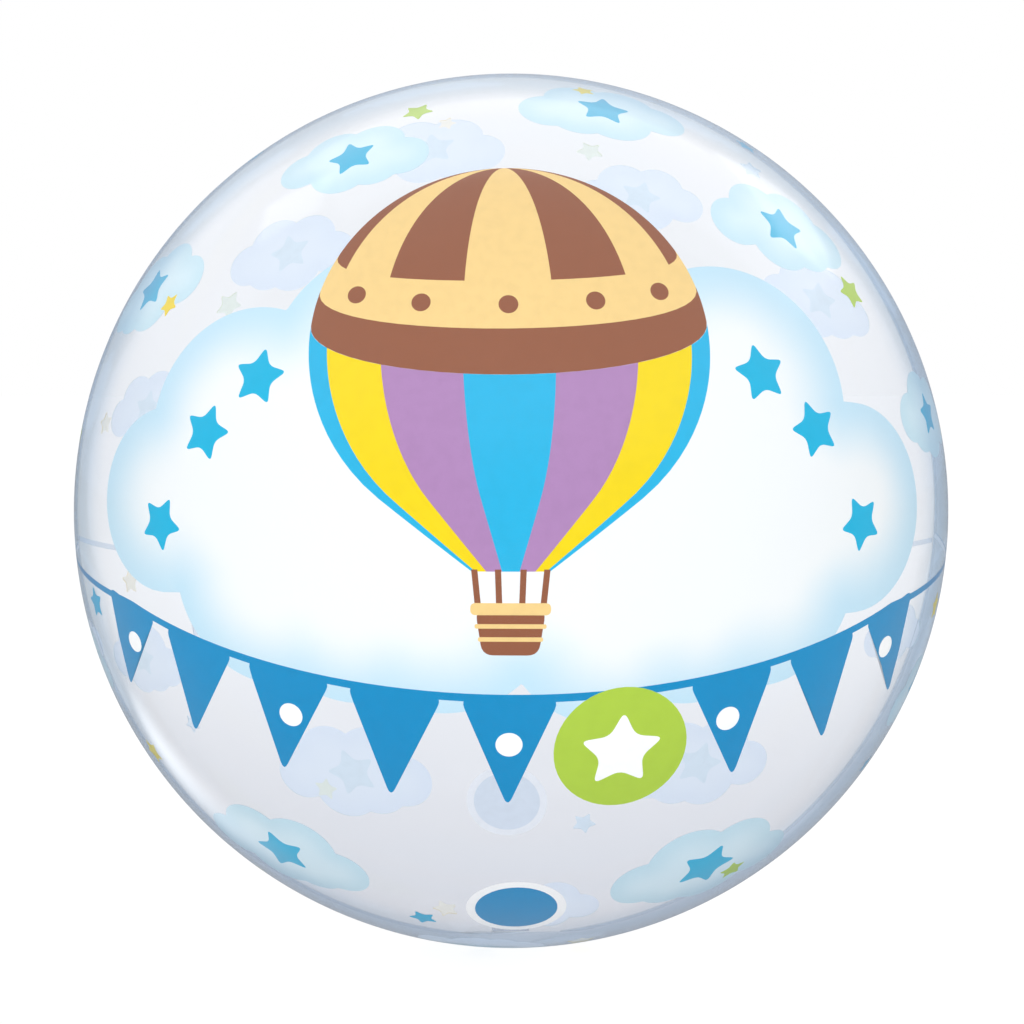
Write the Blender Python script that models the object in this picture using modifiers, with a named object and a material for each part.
"""A bubble balloon: a ball of clear stretch film, welded from two round panels and filled.

Units are metres and +Z is up. The origin is the middle of the small flat spot that the ball stands on,
at floor level. The front panel faces -Y and the back panel +Y, so the weld seam between them stands in the
plane of X and Z. The filling tail leaves the ball at its underside and lies folded back along the floor.
The ball is sealed, so it is one solid.
"""

import math

import bmesh
import bpy

# Driving sizes of the balloon
BALL_DIAMETER = 0.560        # across the filled ball, measured on the film
FOOT_DIAMETER = 0.064        # the small flat spot that it stands on
SEAM_WIDTH = 0.0018          # how far the weld stands out of the ball
SEAM_THICKNESS = 0.0008      # the two films of the weld, pressed together
TAIL_WIDTH = 0.024           # the flat filling tail, across
TAIL_LENGTH = 0.052          # how far the tail reaches past the edge of the flat spot
TAIL_THICKNESS = 0.0012      # two films and the valve film between them
TAIL_CORNER = 0.007          # radius of the corners at its free end

# How finely the round shapes are divided
PANEL_STEPS = 22             # rings from the middle of a panel to the seam
TURN_STEPS = 88              # sectors round the ball
CORNER_STEPS = 6             # short edges round a corner of the tail

# Shapes that are joined to the ball or cut from it run this far past its skin
OVERRUN = 0.004

BALL_RADIUS = BALL_DIAMETER / 2
FOOT_RADIUS = FOOT_DIAMETER / 2

# The flat spot is a slice off the ball, so the middle of the ball is a little under one radius up
BALL_HEIGHT = math.sqrt(BALL_RADIUS ** 2 - FOOT_RADIUS ** 2)


def clear_scene():
    for thing in list(bpy.data.objects):
        bpy.data.objects.remove(thing, do_unlink=True)


def new_collection(name):
    collection = bpy.data.collections.new(name)
    bpy.context.scene.collection.children.link(collection)
    return collection


def film_material():
    """Clear film with a faint lilac cast, as it shows against white."""
    material = bpy.data.materials.new("clear_film")
    material.use_nodes = True
    shader = material.node_tree.nodes["Principled BSDF"]
    shader.inputs["Base Color"].default_value = (0.80, 0.82, 0.90, 1.0)
    shader.inputs["Roughness"].default_value = 0.08
    shader.inputs["Metallic"].default_value = 0.0
    shader.inputs["Alpha"].default_value = 0.35
    return material


def add_mesh(name, collection, bm):
    mesh = bpy.data.meshes.new(name)
    bm.to_mesh(mesh)
    bm.free()
    thing = bpy.data.objects.new(name, mesh)
    collection.objects.link(thing)
    return thing


def make_tool(thing):
    """Marks a shape that only joins to the balloon or cuts it."""
    thing.hide_render = True
    thing.display_type = "WIRE"


def film_profile():
    """The half outline from the middle of one panel, over the seam, to the middle of the other.

    Each point is a distance from the ball's axis and a place along it.
    """
    seam_angle = math.asin(SEAM_THICKNESS / 2 / BALL_RADIUS)
    panel_angle = math.pi / 2 - seam_angle
    front = [
        (BALL_RADIUS * math.sin(a), BALL_RADIUS * math.cos(a))
        for a in (panel_angle * i / PANEL_STEPS for i in range(PANEL_STEPS + 1))
    ]
    front.append((BALL_RADIUS + SEAM_WIDTH, SEAM_THICKNESS / 2))
    back = [(out, -along) for out, along in reversed(front)]
    return front + back


def make_ball(collection, material):
    """Both panels with the weld seam, as one profile turned about the line through the panels' middles."""
    bm = bmesh.new()
    points = [bm.verts.new((out, 0.0, along)) for out, along in film_profile()]
    for first, second in zip(points, points[1:]):
        bm.edges.new((first, second))
    ball = add_mesh("balloon", collection, bm)
    ball.data.materials.append(material)
    # The profile is drawn about Z, and this turn brings the front panel round to -Y
    ball.rotation_euler = (math.pi / 2, 0.0, 0.0)
    ball.location = (0.0, 0.0, BALL_HEIGHT)

    turn = ball.modifiers.new("turn", "SCREW")
    turn.axis = "Z"
    turn.angle = 2 * math.pi
    turn.steps = TURN_STEPS
    turn.render_steps = TURN_STEPS
    turn.use_merge_vertices = True
    turn.merge_threshold = 0.00005
    turn.use_smooth_shade = True
    return ball


def tail_outline():
    """The tail seen from above: square where it runs into the ball, with round corners at its free end."""
    half = TAIL_WIDTH / 2
    root = FOOT_RADIUS - TAIL_WIDTH
    tip = FOOT_RADIUS + TAIL_LENGTH
    corner_turns = [math.pi / 2 * i / CORNER_STEPS for i in range(CORNER_STEPS + 1)]
    right = [
        (half - TAIL_CORNER + TAIL_CORNER * math.cos(a), tip - TAIL_CORNER + TAIL_CORNER * math.sin(a))
        for a in corner_turns
    ]
    left = [(-x, y) for x, y in reversed(right)]
    return [(half, root)] + right + left + [(-half, root)]


def make_tail(tools):
    """The filling tail as a flat strip. It reaches below the floor, where the foot cut trims it."""
    curve = bpy.data.curves.new("tail_strip", "CURVE")
    curve.dimensions = "2D"
    curve.fill_mode = "BOTH"
    thickness = TAIL_THICKNESS + OVERRUN
    curve.extrude = thickness / 2
    outline = tail_outline()
    spline = curve.splines.new("POLY")
    spline.points.add(len(outline) - 1)
    for point, (x, y) in zip(spline.points, outline):
        point.co = (x, y, 0.0, 1.0)
    spline.use_cyclic_u = True
    drawn = bpy.data.objects.new("tail_drawn", curve)
    tools.objects.link(drawn)
    drawn.location = (0.0, 0.0, TAIL_THICKNESS - thickness / 2)
    bpy.context.view_layer.update()

    # A strip that is joined to the ball has to be a closed mesh, with its caps welded on
    mesh = bpy.data.meshes.new_from_object(drawn.evaluated_get(bpy.context.evaluated_depsgraph_get()))
    strip = bpy.data.objects.new("tail_strip", mesh)
    strip.matrix_world = drawn.matrix_world.copy()
    tools.objects.link(strip)
    bpy.data.objects.remove(drawn, do_unlink=True)
    bm = bmesh.new()
    bm.from_mesh(mesh)
    bmesh.ops.remove_doubles(bm, verts=bm.verts, dist=0.00001)
    bm.to_mesh(mesh)
    bm.free()
    make_tool(strip)
    return strip


def make_foot_cut(tools):
    """A block whose top is the floor. It takes off the slice of the ball that stands below it."""
    side = FOOT_DIAMETER + 2 * (TAIL_LENGTH + TAIL_WIDTH + 2 * OVERRUN) + 2 * BALL_RADIUS
    depth = BALL_RADIUS
    bm = bmesh.new()
    bmesh.ops.create_cube(bm, size=1.0)
    bmesh.ops.scale(bm, verts=bm.verts, vec=(side, side, depth))
    block = add_mesh("foot_cut", tools, bm)
    block.location = (0.0, 0.0, -depth / 2)
    make_tool(block)
    return block


def join_and_cut(ball, tail, foot_cut):
    for name, operation, tool in (("tail", "UNION", tail), ("foot", "DIFFERENCE", foot_cut)):
        step = ball.modifiers.new(name, "BOOLEAN")
        step.operation = operation
        step.solver = "EXACT"
        step.object = tool


def main():
    clear_scene()
    balloon = new_collection("bubble_balloon")
    tools = new_collection("cutters")
    ball = make_ball(balloon, film_material())
    join_and_cut(ball, make_tail(tools), make_foot_cut(tools))


main()
